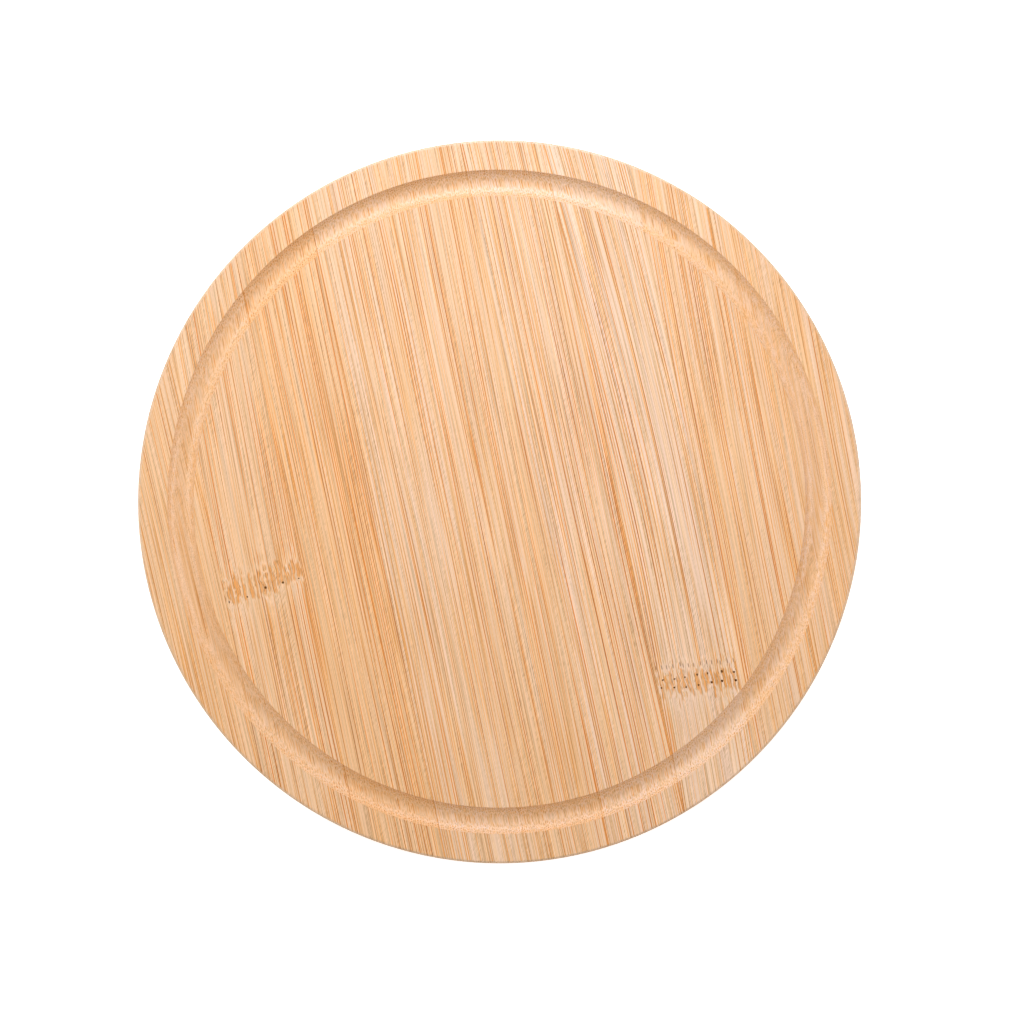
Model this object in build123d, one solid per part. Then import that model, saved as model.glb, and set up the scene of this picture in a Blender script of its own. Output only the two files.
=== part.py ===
"""A round rolling and cutting board of laminated bamboo, with a coved groove inside its rim.

The board is three plies of flat bamboo strips. The strips of a ply are glued edge to edge. The face
ply and the back ply run along Y, and the core ply between them runs across, along X, so that the
board stays flat. The glued block is then turned round, its two edges are eased, and a cutter with a
round nose sinks the groove into the face ply.

Each ply has one strip in its middle and as many beside it, on each hand, as leave the strip at the
rim at least half a strip wide. The strips are numbered from the middle out.

Millimetres. The origin is the middle of the underside and +Z points up, out of the working face.
"""

from build123d import *
import math
import os

# The turned board
board_diameter = 200.0
edge_round = 0.8

# The groove, a circular arc in section
rim_width = 8.2
groove_width = 7.3
groove_depth = 2.2

# The plies, from the table upwards
back_thickness = 5.0
core_thickness = 5.0
face_thickness = 5.0

# The strips as they are planed
strip_width = 22.4

# How far the middle strip of each ply lies off the board's centre line
face_offset = -1.4
core_offset = 2.6
back_offset = 3.2

board_radius = board_diameter / 2
core_floor = back_thickness
face_floor = core_floor + core_thickness
board_top = face_floor + face_thickness

# How the strips of a ply lie, turned from lengthwise along Y
lengthwise = Rot(0, 0, 0)
crosswise = Rot(0, 0, 90)


def turned_board():
    """The whole board as one body of revolution, the shape that the cutter leaves."""
    flat_radius = board_radius - edge_round
    round_middle = edge_round * (1 - math.sqrt(0.5))
    groove_outside = board_radius - rim_width
    groove_inside = groove_outside - groove_width
    groove_middle = (groove_outside + groove_inside) / 2
    outline = [
        Line((0, 0), (flat_radius, 0)),
        ThreePointArc(
            (flat_radius, 0),
            (board_radius - round_middle, round_middle),
            (board_radius, edge_round),
        ),
        Line((board_radius, edge_round), (board_radius, board_top - edge_round)),
        ThreePointArc(
            (board_radius, board_top - edge_round),
            (board_radius - round_middle, board_top - round_middle),
            (flat_radius, board_top),
        ),
        Line((flat_radius, board_top), (groove_outside, board_top)),
        ThreePointArc(
            (groove_outside, board_top),
            (groove_middle, board_top - groove_depth),
            (groove_inside, board_top),
        ),
        Line((groove_inside, board_top), (0, board_top)),
        Line((0, board_top), (0, 0)),
    ]
    section = Plane.XZ * make_face(outline)
    return revolve(section, axis=Axis.Z)


def strip(board, low_side, high_side, floor, thickness, lay):
    """One strip between two of its ply's seams, cut to the board's round."""
    blank = Box(high_side - low_side, board_diameter, thickness)
    blank = Pos((low_side + high_side) / 2, 0, floor + thickness / 2) * blank
    return board & (lay * blank)


def ply(board, name, hands, offset, floor, thickness, lay):
    """The strips of one ply. Its hands are the names of its low and its high side."""
    pairs = round((board_radius - strip_width / 2) / strip_width)
    low_seams = [offset - (number - 0.5) * strip_width for number in range(1, pairs + 1)]
    high_seams = [offset + (number - 0.5) * strip_width for number in range(1, pairs + 1)]
    strips = {f"{name}_middle_strip": strip(board, low_seams[0], high_seams[0], floor, thickness, lay)}
    low_seams.append(-board_radius)
    high_seams.append(board_radius)
    low_hand, high_hand = hands
    for number in range(1, pairs + 1):
        strips[f"{name}_{low_hand}_strip_{number}"] = strip(
            board, low_seams[number], low_seams[number - 1], floor, thickness, lay
        )
        strips[f"{name}_{high_hand}_strip_{number}"] = strip(
            board, high_seams[number - 1], high_seams[number], floor, thickness, lay
        )
    return strips


def main():
    board = turned_board()
    parts = {
        **ply(board, "face", ("left", "right"), face_offset, face_floor, face_thickness, lengthwise),
        **ply(board, "core", ("near", "far"), core_offset, core_floor, core_thickness, crosswise),
        **ply(board, "back", ("left", "right"), back_offset, 0, back_thickness, lengthwise),
    }
    os.makedirs("parts", exist_ok=True)
    for name, shape in parts.items():
        export_step(shape, f"parts/{name}.step")


main()
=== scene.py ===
"""A round laminated bamboo board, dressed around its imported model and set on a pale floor.

The strips of the face, core and back plies are turned again as fine meshes, pitted at the growth
knuckles, and given a solid bamboo figure that runs through each strip along its own grain. Metres,
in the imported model's own frame: the origin is the middle of the underside and +Z is up.
"""

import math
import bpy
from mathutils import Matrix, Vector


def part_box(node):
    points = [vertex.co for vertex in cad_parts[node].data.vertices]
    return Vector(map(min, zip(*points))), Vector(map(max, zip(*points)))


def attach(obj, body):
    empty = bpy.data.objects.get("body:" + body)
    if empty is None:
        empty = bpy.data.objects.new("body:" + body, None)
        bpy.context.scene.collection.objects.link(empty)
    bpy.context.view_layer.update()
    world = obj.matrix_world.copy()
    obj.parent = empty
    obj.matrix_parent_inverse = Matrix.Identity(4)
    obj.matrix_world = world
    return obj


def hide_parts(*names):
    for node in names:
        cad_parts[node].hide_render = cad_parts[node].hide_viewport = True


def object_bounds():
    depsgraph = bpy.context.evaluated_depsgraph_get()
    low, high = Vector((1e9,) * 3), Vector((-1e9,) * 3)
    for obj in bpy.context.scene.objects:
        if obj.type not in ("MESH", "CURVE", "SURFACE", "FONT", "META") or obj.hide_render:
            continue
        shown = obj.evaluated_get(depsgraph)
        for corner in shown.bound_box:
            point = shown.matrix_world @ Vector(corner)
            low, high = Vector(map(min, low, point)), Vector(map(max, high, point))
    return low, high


bl_info = {
    "name": "Bamboo Rolling Board",
    "version": (1, 0, 0),
    "blender": (4, 5, 0),
    "location": "3D View > Sidebar > Board",
    "description": "Builds a round board of laminated bamboo strips with a coved ring groove",
    "category": "Object",
}

import bpy
import numpy as np
from bpy.props import FloatProperty, FloatVectorProperty, IntProperty, PointerProperty
from mathutils import Vector

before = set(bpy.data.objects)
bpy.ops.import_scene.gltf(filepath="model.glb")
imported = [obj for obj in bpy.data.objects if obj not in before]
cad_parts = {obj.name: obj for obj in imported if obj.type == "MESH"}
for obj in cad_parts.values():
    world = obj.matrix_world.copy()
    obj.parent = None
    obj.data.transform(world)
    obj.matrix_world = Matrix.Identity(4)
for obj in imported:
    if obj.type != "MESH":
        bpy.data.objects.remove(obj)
cad_low, cad_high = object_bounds()

MILLIMETRE = 0.001
BOARD_RADIUS = (cad_high.x - cad_low.x) / 2
BOARD_TOP = cad_high.z
MERGE_DISTANCE = 1e-6

# How near a face's own normal must be to the vertical to be flat, and to the section to be turned
FLAT_WITHIN = math.radians(0.5)
TURNED_WITHIN = math.radians(20)

# An edge that turns more than this stays sharp
SHARP_ANGLE = math.radians(30)

# How far the block that a strip is cut from runs past the board, and how near a strip's box comes to
# the board's round when the strip reaches the rim
SPARE = 10 * MILLIMETRE
SLIVER = MILLIMETRE

# How far a pit strays from its place, in pit radii, how much of the strip's width a row fills, and the
# least and the most that a pit is stretched along each axis
PIT_STRAY = 1.6
PIT_ROW_SHARE = 0.89
PIT_LEAST_STRETCH = (0.5, 0.5, 0.9)
PIT_MOST_STRETCH = (1.1, 1.2, 1.3)

# The grit in a pit, in knots to the metre, and its darkest and palest colours
PIT_GRIT = 6000.0
PIT_DARK = (0.085, 0.028, 0.007)
PIT_BROWN = (0.32, 0.125, 0.035)

# Where the rim, the eased edge and the groove set in for the bamboo's look, each as the start and the
# end of a soft step. The groove's step also sets where its floor is painted lighter against its shade,
# and the edge's where the edge is painted darker and creamier against the softboxes' bright line
RIM_STEP = (BOARD_RADIUS - 9.0 * MILLIMETRE, BOARD_RADIUS - 7.5 * MILLIMETRE)
EDGE_STEP = (BOARD_RADIUS - 0.8 * MILLIMETRE, BOARD_RADIUS - 0.3 * MILLIMETRE)
GROOVE_DEPTH_STEP = (BOARD_TOP - 0.8 * MILLIMETRE, BOARD_TOP - 2.0 * MILLIMETRE)
GROOVE_SIDE_STEP = (BOARD_RADIUS - 7.0 * MILLIMETRE, BOARD_RADIUS - 8.5 * MILLIMETRE)

# The floor, in metres
FLOOR_HALF_WIDTH = 6.0
FLOOR_GAP = 0.05 * MILLIMETRE

# Where the sky's light fades from the horizon up, as the height of a direction of length 1
HORIZON_STEP = (0.2, 0.6)


class Knuckle:
    """A growth ring of the culm, which crosses a strip as a band of broken fibres and pits."""

    def __init__(self, place, tilt, half, columns, rows, row_gap=2.4, drop=0.0, ticks=0.0):
        self.place = place
        self.tilt = tilt
        self.half = half
        self.columns = columns
        self.rows = rows
        self.row_gap = row_gap
        self.drop = drop
        self.ticks = ticks


class Strip:
    """How one strip's bamboo differs from the others."""

    def __init__(self, slot, tone, blush, streaks, spacing, lean, bend, seed, glue=0.35, knuckle=None):
        self.slot = slot
        self.tone = tone
        self.blush = blush
        self.streaks = streaks
        self.spacing = spacing
        self.lean = lean
        self.bend = bend
        self.seed = seed
        self.glue = glue
        self.knuckle = knuckle


# Tone is the ground colour, from 0, amber, to 1, pale, and blush is how rosy it is. Streaks is how
# strong the dark and light lines are. Spacing is in millimetres, between bundles of fibres. Lean is in
# degrees at the middle of the strip, and bend is how many degrees it gains over the bend length. Glue
# is how plain the glue line at its sides is. A knuckle has its place in millimetres along the grain,
# its tilt in degrees from square across the strip, and half its length in millimetres.
BEND_LENGTH = 100.0
STRIPS = {
    "face_left_strip_4": Strip("honey_bamboo", 0.50, 0.30, 0.80, 0.60, -1.2, 0.0, 11),
    "face_left_strip_3": Strip(
        "honey_bamboo", 0.56, 0.35, 1.05, 0.61, 0.8, 1.2, 23,
        knuckle=Knuckle(-7.9, 9.0, 3.3, 5, 1, drop=1.3),
    ),
    "face_left_strip_2": Strip("amber_bamboo", 0.50, 0.20, 1.05, 0.60, 0.0, 0.0, 37, glue=1.0),
    "face_left_strip_1": Strip("pale_bamboo", 0.60, 0.65, 0.90, 0.61, 0.0, -0.3, 41),
    "face_middle_strip": Strip("honey_bamboo", 0.56, 0.45, 0.95, 0.58, 0.3, 0.5, 53),
    "face_right_strip_1": Strip("pale_bamboo", 0.61, 0.80, 1.05, 0.61, -0.4, -0.2, 67, glue=0.7),
    "face_right_strip_2": Strip(
        "pale_bamboo", 0.70, 0.95, 1.08, 0.65, -0.6, -3.6, 71,
        knuckle=Knuckle(-59.5, -6.5, 3.5, 7, 2, row_gap=2.6, ticks=1.0),
    ),
    "face_right_strip_3": Strip("amber_bamboo", 0.54, 0.60, 0.85, 0.60, 1.2, 0.5, 83),
    "face_right_strip_4": Strip("honey_bamboo", 0.47, 0.70, 0.72, 0.56, 1.0, 0.0, 97),
    "core_near_strip_4": Strip("amber_bamboo", 0.51, 0.20, 0.90, 0.60, 0.4, 0.0, 103),
    "core_near_strip_3": Strip("honey_bamboo", 0.57, 0.40, 0.90, 0.65, -0.6, 0.3, 107),
    "core_near_strip_2": Strip("amber_bamboo", 0.54, 0.20, 1.00, 0.57, 0.2, 0.0, 113),
    "core_near_strip_1": Strip("honey_bamboo", 0.59, 0.40, 0.90, 0.63, 0.0, 0.4, 127),
    "core_middle_strip": Strip("honey_bamboo", 0.57, 0.40, 0.90, 0.60, 0.5, 0.0, 131),
    "core_far_strip_1": Strip("amber_bamboo", 0.52, 0.20, 1.00, 0.65, -0.3, 0.0, 137),
    "core_far_strip_2": Strip("honey_bamboo", 0.58, 0.40, 0.90, 0.57, 0.0, 0.2, 149),
    "core_far_strip_3": Strip("amber_bamboo", 0.54, 0.20, 0.90, 0.63, 0.3, 0.0, 151),
    "core_far_strip_4": Strip("honey_bamboo", 0.57, 0.40, 0.80, 0.60, -0.5, 0.0, 163),
    "back_left_strip_4": Strip("honey_bamboo", 0.57, 0.40, 0.80, 0.60, 0.5, 0.0, 173),
    "back_left_strip_3": Strip("pale_bamboo", 0.64, 0.70, 1.00, 0.65, -0.4, 0.6, 179),
    "back_left_strip_2": Strip("amber_bamboo", 0.52, 0.20, 1.00, 0.57, 0.2, 0.0, 181),
    "back_left_strip_1": Strip(
        "honey_bamboo", 0.58, 0.40, 0.90, 0.63, 0.0, 1.0, 191,
        knuckle=Knuckle(34.0, -4.0, 2.4, 6, 2),
    ),
    "back_middle_strip": Strip("pale_bamboo", 0.65, 0.70, 1.00, 0.65, 0.6, -0.5, 193),
    "back_right_strip_1": Strip("honey_bamboo", 0.57, 0.40, 1.00, 0.54, -0.2, 0.0, 197),
    "back_right_strip_2": Strip("amber_bamboo", 0.53, 0.20, 1.00, 0.60, 0.3, 0.4, 199),
    "back_right_strip_3": Strip(
        "pale_bamboo", 0.63, 0.70, 0.90, 0.69, -0.5, 1.4, 211,
        knuckle=Knuckle(-27.0, 6.0, 2.6, 5, 2),
    ),
    "back_right_strip_4": Strip("honey_bamboo", 0.56, 0.40, 0.80, 0.57, 0.4, 0.0, 223),
}


# The colours of the softboxes' light
WARM_WHITE = (1.0, 0.985, 0.955)
COOL_WHITE = (0.90, 1.0, 1.22)
ROSY_WHITE = (1.0, 0.97, 0.985)


class Softbox:
    """A soft light that faces the board."""

    def __init__(self, name, bearing, tilt, distance, width, height, power, colour=WARM_WHITE):
        self.name = name
        self.bearing = bearing
        self.tilt = tilt
        self.distance = distance
        self.width = width
        self.height = height
        self.power = power
        self.colour = colour


# Bearing is in degrees in the picture, from its right anticlockwise, and tilt in degrees off the
# vertical. Sizes are in metres and power is in watts.
SOFTBOXES = (
    Softbox("near softbox", 90, 58, 0.40, 0.22, 0.22, 0.84, COOL_WHITE),
    Softbox("low softbox", 120, 83, 1.00, 0.90, 0.22, 0.9, COOL_WHITE),
    Softbox("overhead softbox", 90, 10, 1.60, 0.50, 0.50, 3.3),
    Softbox("upper left softbox", 135, 53, 1.60, 0.60, 0.60, 4.75),
    Softbox("left softbox", 180, 60, 1.60, 0.60, 0.60, 5.0),
    Softbox("right softbox", 0, 62, 1.60, 0.60, 0.60, 5.8, ROSY_WHITE),
)


class BoardSizes(bpy.types.PropertyGroup):
    """The sizes that the cutter leaves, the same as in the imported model."""

    edge_round: FloatProperty(
        name="Edge Round",
        description="Radius of the eased edges",
        default=0.0008,
        min=0.0,
        unit="LENGTH",
    )
    rim_width: FloatProperty(
        name="Rim Width",
        description="Flat rim between the groove and the board's edge",
        default=0.0082,
        min=0.0,
        unit="LENGTH",
    )
    groove_width: FloatProperty(
        name="Groove Width",
        description="Width of the coved groove at the face",
        default=0.0073,
        min=0.0,
        unit="LENGTH",
    )
    groove_depth: FloatProperty(
        name="Groove Depth",
        description="Depth of the coved groove in its middle",
        default=0.0022,
        min=0.0,
        unit="LENGTH",
    )
    segments: IntProperty(
        name="Segments",
        description="Facets round the board",
        default=360,
        min=24,
    )
    arc_steps: IntProperty(
        name="Arc Steps",
        description="Facets across each rounded stretch of the section",
        default=16,
        min=2,
    )
    pit_radius: FloatProperty(
        name="Pit Radius",
        description="Radius of the small pits at a growth knuckle",
        default=0.00034,
        min=0.0,
        unit="LENGTH",
    )


class BambooLook(bpy.types.PropertyGroup):
    """The colours and finish of the bamboo."""

    dark: FloatVectorProperty(
        name="Dark Fibre",
        description="Darkest fibre bundles and the vessels in them",
        default=(0.67, 0.21, 0.018),
        subtype="COLOR",
        min=0.0,
        max=1.0,
    )
    amber: FloatVectorProperty(
        name="Amber Fibre",
        description="Ordinary fibre bundles",
        default=(0.70, 0.300, 0.064),
        subtype="COLOR",
        min=0.0,
        max=1.0,
    )
    honey: FloatVectorProperty(
        name="Honey Ground",
        description="Ground tissue of the darker strips",
        default=(0.715, 0.385, 0.158),
        subtype="COLOR",
        min=0.0,
        max=1.0,
    )
    pale: FloatVectorProperty(
        name="Pale Ground",
        description="Ground tissue of the paler strips",
        default=(0.725, 0.450, 0.247),
        subtype="COLOR",
        min=0.0,
        max=1.0,
    )
    cream: FloatVectorProperty(
        name="Cream Ground",
        description="Palest ground tissue",
        default=(0.745, 0.54, 0.378),
        subtype="COLOR",
        min=0.0,
        max=1.0,
    )
    rosy: FloatVectorProperty(
        name="Rosy Ground",
        description="Tint of the duller threads between the bundles",
        default=(0.72, 0.475, 0.315),
        subtype="COLOR",
        min=0.0,
        max=1.0,
    )
    shading: FloatVectorProperty(
        name="Shading",
        description="How much each channel follows the fine light and dark of the grain",
        default=(0.81, 1.0, 1.34),
        min=0.0,
    )
    knuckle: FloatVectorProperty(
        name="Knuckle Dash",
        description="Amber of the short broken bundles in a growth knuckle",
        default=(0.69, 0.275, 0.052),
        subtype="COLOR",
        min=0.0,
        max=1.0,
    )
    tick: FloatVectorProperty(
        name="Knuckle Tick",
        description="Brown of the torn fibre along the top of a growth knuckle",
        default=(0.30, 0.14, 0.065),
        subtype="COLOR",
        min=0.0,
        max=1.0,
    )


class StageLook(bpy.types.PropertyGroup):
    """The floor, the lights and the camera."""

    floor_colour: FloatVectorProperty(
        name="Floor Colour",
        description="Colour of the plain floor",
        default=(0.93, 0.93, 0.93),
        subtype="COLOR",
        min=0.0,
        max=1.0,
    )
    floor_glow: FloatProperty(
        name="Floor Glow",
        description="Light that the floor gives by itself, so that its shadows stay faint",
        default=0.6,
        min=0.0,
    )
    sky_strength: FloatProperty(
        name="Sky Strength",
        description="Even light from all round",
        default=0.45,
        min=0.0,
    )
    horizon_strength: FloatProperty(
        name="Horizon Strength",
        description="Light that the sky gains towards the horizon",
        default=0.18,
        min=0.0,
    )
    softbox_strength: FloatProperty(
        name="Softbox Strength",
        description="Strength of all the softboxes together",
        default=1.0,
        min=0.0,
    )
    camera_height: FloatProperty(
        name="Camera Height",
        description="Height of the camera over the board's face",
        default=1.2,
        min=0.1,
        unit="LENGTH",
    )
    camera_roll: FloatProperty(
        name="Camera Roll",
        description="Turn of the camera about the vertical, which leans the grain in the picture",
        default=math.radians(-11.95),
        subtype="ANGLE",
    )


class Value:
    """A number or vector inside a node tree. Arithmetic on it adds nodes to the tree."""

    def __init__(self, nodes, socket):
        self.nodes = nodes
        self.socket = socket

    def __add__(self, other):
        return self.nodes.math("ADD", self, other)

    def __radd__(self, other):
        return self.nodes.math("ADD", other, self)

    def __sub__(self, other):
        return self.nodes.math("SUBTRACT", self, other)

    def __rsub__(self, other):
        return self.nodes.math("SUBTRACT", other, self)

    def __mul__(self, other):
        return self.nodes.math("MULTIPLY", self, other)

    def __rmul__(self, other):
        return self.nodes.math("MULTIPLY", other, self)

    def __truediv__(self, other):
        return self.nodes.math("DIVIDE", self, other)

    def __neg__(self):
        return self.nodes.math("MULTIPLY", self, -1.0)


class Nodes:
    """Adds nodes to a tree, with their inputs linked or set."""

    def __init__(self, tree):
        self.tree = tree

    def add(self, kind, inputs=(), **settings):
        """A new node. Inputs are a list in the sockets' order or a dict by socket name or number."""
        node = self.tree.nodes.new(kind)
        for name, setting in settings.items():
            setattr(node, name, setting)
        pairs = inputs.items() if isinstance(inputs, dict) else enumerate(inputs)
        for key, value in pairs:
            self.feed(node.inputs[key], value)
        return node

    def feed(self, socket, value):
        """Links a value to a socket, or sets the socket to it."""
        if isinstance(value, Value):
            self.tree.links.new(value.socket, socket)
        elif isinstance(value, bpy.types.NodeSocket):
            self.tree.links.new(value, socket)
        elif value is not None:
            socket.default_value = value

    def value(self, socket):
        return Value(self, socket)

    def math(self, operation, *inputs):
        return Value(self, self.add("ShaderNodeMath", inputs, operation=operation).outputs[0])

    def vector(self, x, y, z):
        return Value(self, self.add("ShaderNodeCombineXYZ", (x, y, z)).outputs[0])

    def parts(self, vector):
        node = self.add("ShaderNodeSeparateXYZ", (vector,))
        return [Value(self, socket) for socket in node.outputs]

    def smooth(self, value, low, high):
        """0 below low and 1 above high, with a smooth step between them."""
        node = self.add(
            "ShaderNodeMapRange",
            {"Value": value, "From Min": low, "From Max": high},
            interpolation_type="SMOOTHSTEP",
        )
        return Value(self, node.outputs["Result"])


def new_tree(name, kind, inputs, outputs):
    """A node group with named inputs, each (name, socket type, default), and outputs."""
    tree = bpy.data.node_groups.new(name, kind)
    for socket_name, socket_type, default in inputs:
        socket = tree.interface.new_socket(socket_name, in_out="INPUT", socket_type=socket_type)
        if default is not None:
            socket.default_value = default
    for socket_name, socket_type in outputs:
        tree.interface.new_socket(socket_name, in_out="OUTPUT", socket_type=socket_type)
    nodes = Nodes(tree)
    start = nodes.add("NodeGroupInput")
    given = {socket.name: Value(nodes, socket) for socket in start.outputs if socket.name}
    end = nodes.add("NodeGroupOutput")
    return tree, nodes, given, end


def set_modifier_inputs(modifier, inputs):
    """Sets a Geometry Nodes modifier's inputs, named as in its tree."""
    for item in modifier.node_group.interface.items_tree:
        if item.item_type == "SOCKET" and item.in_out == "INPUT" and item.name in inputs:
            modifier[item.identifier] = inputs[item.name]


def turned_strip_tree():
    """The tree that turns the board's outline and keeps the part of it that one strip fills.

    The section is five arcs, joined by straight runs: the axis at the underside, the lower edge, the
    upper edge, the groove and the axis at the face. The two on the axis have no radius.
    """
    tree, nodes, given, end = new_tree(
        "turned strip",
        "GeometryNodeTree",
        [
            ("Board Radius", "NodeSocketFloat", 0.1),
            ("Board Top", "NodeSocketFloat", 0.015),
            ("Edge Round", "NodeSocketFloat", 0.001),
            ("Rim Width", "NodeSocketFloat", 0.008),
            ("Groove Width", "NodeSocketFloat", 0.008),
            ("Groove Depth", "NodeSocketFloat", 0.002),
            ("Segments", "NodeSocketInt", 360),
            ("Arc Steps", "NodeSocketInt", 16),
            ("Low Corner", "NodeSocketVector", (0.0, 0.0, 0.0)),
            ("High Corner", "NodeSocketVector", (0.0, 0.0, 0.0)),
            ("Material", "NodeSocketMaterial", None),
        ],
        [("Geometry", "NodeSocketGeometry")],
    )
    radius = given["Board Radius"]
    top = given["Board Top"]
    edge = given["Edge Round"]
    half_width = given["Groove Width"] / 2.0
    depth = given["Groove Depth"]
    groove_radius = (half_width * half_width + depth * depth) / (2.0 * depth)
    half_angle = nodes.math("ARCSINE", half_width / groove_radius)
    groove_middle = radius - given["Rim Width"] - half_width
    groove_height = top - depth + groove_radius
    quarter = math.pi / 2
    arcs = [
        (0.0, 0.0, 0.0, 0.0, 0.0),
        (radius - edge, edge, edge, -quarter, quarter),
        (radius - edge, top - edge, edge, 0.0, quarter),
        (groove_middle, groove_height, groove_radius, half_angle - quarter, half_angle * -2.0),
        (0.0, top, 0.0, 0.0, 0.0),
    ]
    steps = given["Arc Steps"]
    points_each = steps + 1.0
    rings = points_each * float(len(arcs))
    grid = nodes.add(
        "GeometryNodeMeshGrid",
        {"Size X": 1.0, "Size Y": 1.0, "Vertices X": rings, "Vertices Y": given["Segments"] + 1.0},
    )
    position = nodes.add("GeometryNodeInputPosition").outputs[0]
    grid_x, grid_y, _ = nodes.parts(position)
    ring = nodes.math("ROUND", (grid_x + 0.5) * (rings - 1.0))
    arc = nodes.math("FLOOR", (ring + 0.5) / points_each)
    share = (ring - arc * points_each) / steps
    looked_up = []
    for column in range(len(arcs[0])):
        switch = nodes.add("GeometryNodeIndexSwitch", data_type="FLOAT")
        while len(switch.index_switch_items) < len(arcs):
            switch.index_switch_items.new()
        nodes.feed(switch.inputs[0], arc)
        for row, values in enumerate(arcs):
            nodes.feed(switch.inputs[row + 1], values[column])
        looked_up.append(nodes.value(switch.outputs[0]))
    middle_r, middle_z, arc_radius, start_angle, sweep = looked_up
    angle = start_angle + sweep * share
    ring_radius = middle_r + arc_radius * nodes.math("COSINE", angle)
    height = middle_z + arc_radius * nodes.math("SINE", angle)
    bearing = (grid_y + 0.5) * (2 * math.pi)
    turned_place = nodes.vector(
        ring_radius * nodes.math("COSINE", bearing), ring_radius * nodes.math("SINE", bearing), height
    )
    turned = nodes.add(
        "GeometryNodeSetPosition", {"Geometry": grid.outputs[0], "Position": turned_place}
    )
    merged = nodes.add(
        "GeometryNodeMergeByDistance", {"Geometry": turned.outputs[0], "Distance": MERGE_DISTANCE}
    )

    low = given["Low Corner"]
    high = given["High Corner"]
    size = nodes.add("ShaderNodeVectorMath", (high, low), operation="SUBTRACT").outputs[0]
    total = nodes.add("ShaderNodeVectorMath", (high, low), operation="ADD").outputs[0]
    centre = nodes.add("ShaderNodeVectorMath", {0: total, "Scale": 0.5}, operation="SCALE").outputs[0]
    block = nodes.add("GeometryNodeMeshCube", {"Size": size})
    placed = nodes.add("GeometryNodeTransform", {"Geometry": block.outputs[0], "Translation": centre})
    cut = nodes.add("GeometryNodeMeshBoolean", operation="INTERSECT", solver="EXACT")
    nodes.feed(cut.inputs["Mesh 2"], merged.outputs[0])
    nodes.feed(cut.inputs["Mesh 2"], placed.outputs[0])
    real = nodes.add("GeometryNodeRealizeInstances", {"Geometry": cut.outputs[0]})
    finished = nodes.add(
        "GeometryNodeSetMaterial", {"Geometry": real.outputs[0], "Material": given["Material"]}
    )
    nodes.feed(end.inputs[0], finished.outputs[0])
    return tree


def knuckle_pits_tree():
    """The tree that sinks the rows of small pits of a growth knuckle into a strip."""
    tree, nodes, given, end = new_tree(
        "knuckle pits",
        "GeometryNodeTree",
        [
            ("Geometry", "NodeSocketGeometry", None),
            ("Middle", "NodeSocketVector", (0.0, 0.0, 0.0)),
            ("Tilt", "NodeSocketFloat", 0.0),
            ("Width", "NodeSocketFloat", 0.02),
            ("Row Gap", "NodeSocketFloat", 0.002),
            ("Columns", "NodeSocketInt", 6),
            ("Rows", "NodeSocketInt", 1),
            ("Pit Radius", "NodeSocketFloat", 0.0003),
            ("Seed", "NodeSocketInt", 0),
            ("Pit Material", "NodeSocketMaterial", None),
        ],
        [("Geometry", "NodeSocketGeometry")],
    )
    radius = given["Pit Radius"]
    rows = given["Rows"]
    grid = nodes.add(
        "GeometryNodeMeshGrid",
        {
            "Size X": given["Width"],
            "Size Y": given["Row Gap"],
            "Vertices X": given["Columns"],
            "Vertices Y": nodes.math("MAXIMUM", rows, 2.0),
        },
    )
    _, row_y, _ = nodes.parts(nodes.add("GeometryNodeInputPosition").outputs[0])
    surplus = nodes.math("LESS_THAN", rows, 1.5) * nodes.math("GREATER_THAN", row_y, 0.0)
    kept = nodes.add("GeometryNodeDeleteGeometry", {"Geometry": grid.outputs[0], "Selection": surplus})
    scatter = nodes.add(
        "FunctionNodeRandomValue",
        {"Min": (-1.0, -1.0, 0.0), "Max": (1.0, 1.0, 0.0), "Seed": given["Seed"]},
        data_type="FLOAT_VECTOR",
    )
    offset = nodes.add(
        "ShaderNodeVectorMath", {0: scatter.outputs[0], "Scale": radius * PIT_STRAY}, operation="SCALE"
    )
    scattered = nodes.add(
        "GeometryNodeSetPosition", {"Geometry": kept.outputs[0], "Offset": offset.outputs[0]}
    )
    turn = nodes.vector(0.0, 0.0, given["Tilt"])
    placed = nodes.add(
        "GeometryNodeTransform",
        {"Geometry": scattered.outputs[0], "Translation": given["Middle"], "Rotation": turn},
    )
    ball = nodes.add("GeometryNodeMeshIcoSphere", {"Radius": radius, "Subdivisions": 3})
    smooth_ball = nodes.add("GeometryNodeSetShadeSmooth", {"Geometry": ball.outputs[0]})
    pit_finish = given["Pit Material"]
    dark_ball = nodes.add(
        "GeometryNodeSetMaterial", {"Geometry": smooth_ball.outputs[0], "Material": pit_finish}
    )
    stretch = nodes.add(
        "FunctionNodeRandomValue",
        {"Min": PIT_LEAST_STRETCH, "Max": PIT_MOST_STRETCH, "Seed": given["Seed"]},
        data_type="FLOAT_VECTOR",
    )
    pits = nodes.add(
        "GeometryNodeInstanceOnPoints",
        {"Points": placed.outputs[0], "Instance": dark_ball.outputs[0], "Scale": stretch.outputs[0]},
    )
    real = nodes.add("GeometryNodeRealizeInstances", {"Geometry": pits.outputs[0]})
    cut = nodes.add("GeometryNodeMeshBoolean", operation="DIFFERENCE", solver="EXACT")
    nodes.feed(cut.inputs["Mesh 1"], given["Geometry"])
    nodes.feed(cut.inputs["Mesh 2"], real.outputs[0])
    whole = nodes.add("GeometryNodeRealizeInstances", {"Geometry": cut.outputs[0]})
    in_pit = nodes.add("GeometryNodeMaterialSelection", {"Material": pit_finish})
    finished = nodes.add(
        "GeometryNodeSetMaterial",
        {"Geometry": whole.outputs[0], "Selection": in_pit.outputs[0], "Material": pit_finish},
    )
    nodes.feed(end.inputs[0], finished.outputs[0])
    return tree


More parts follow.
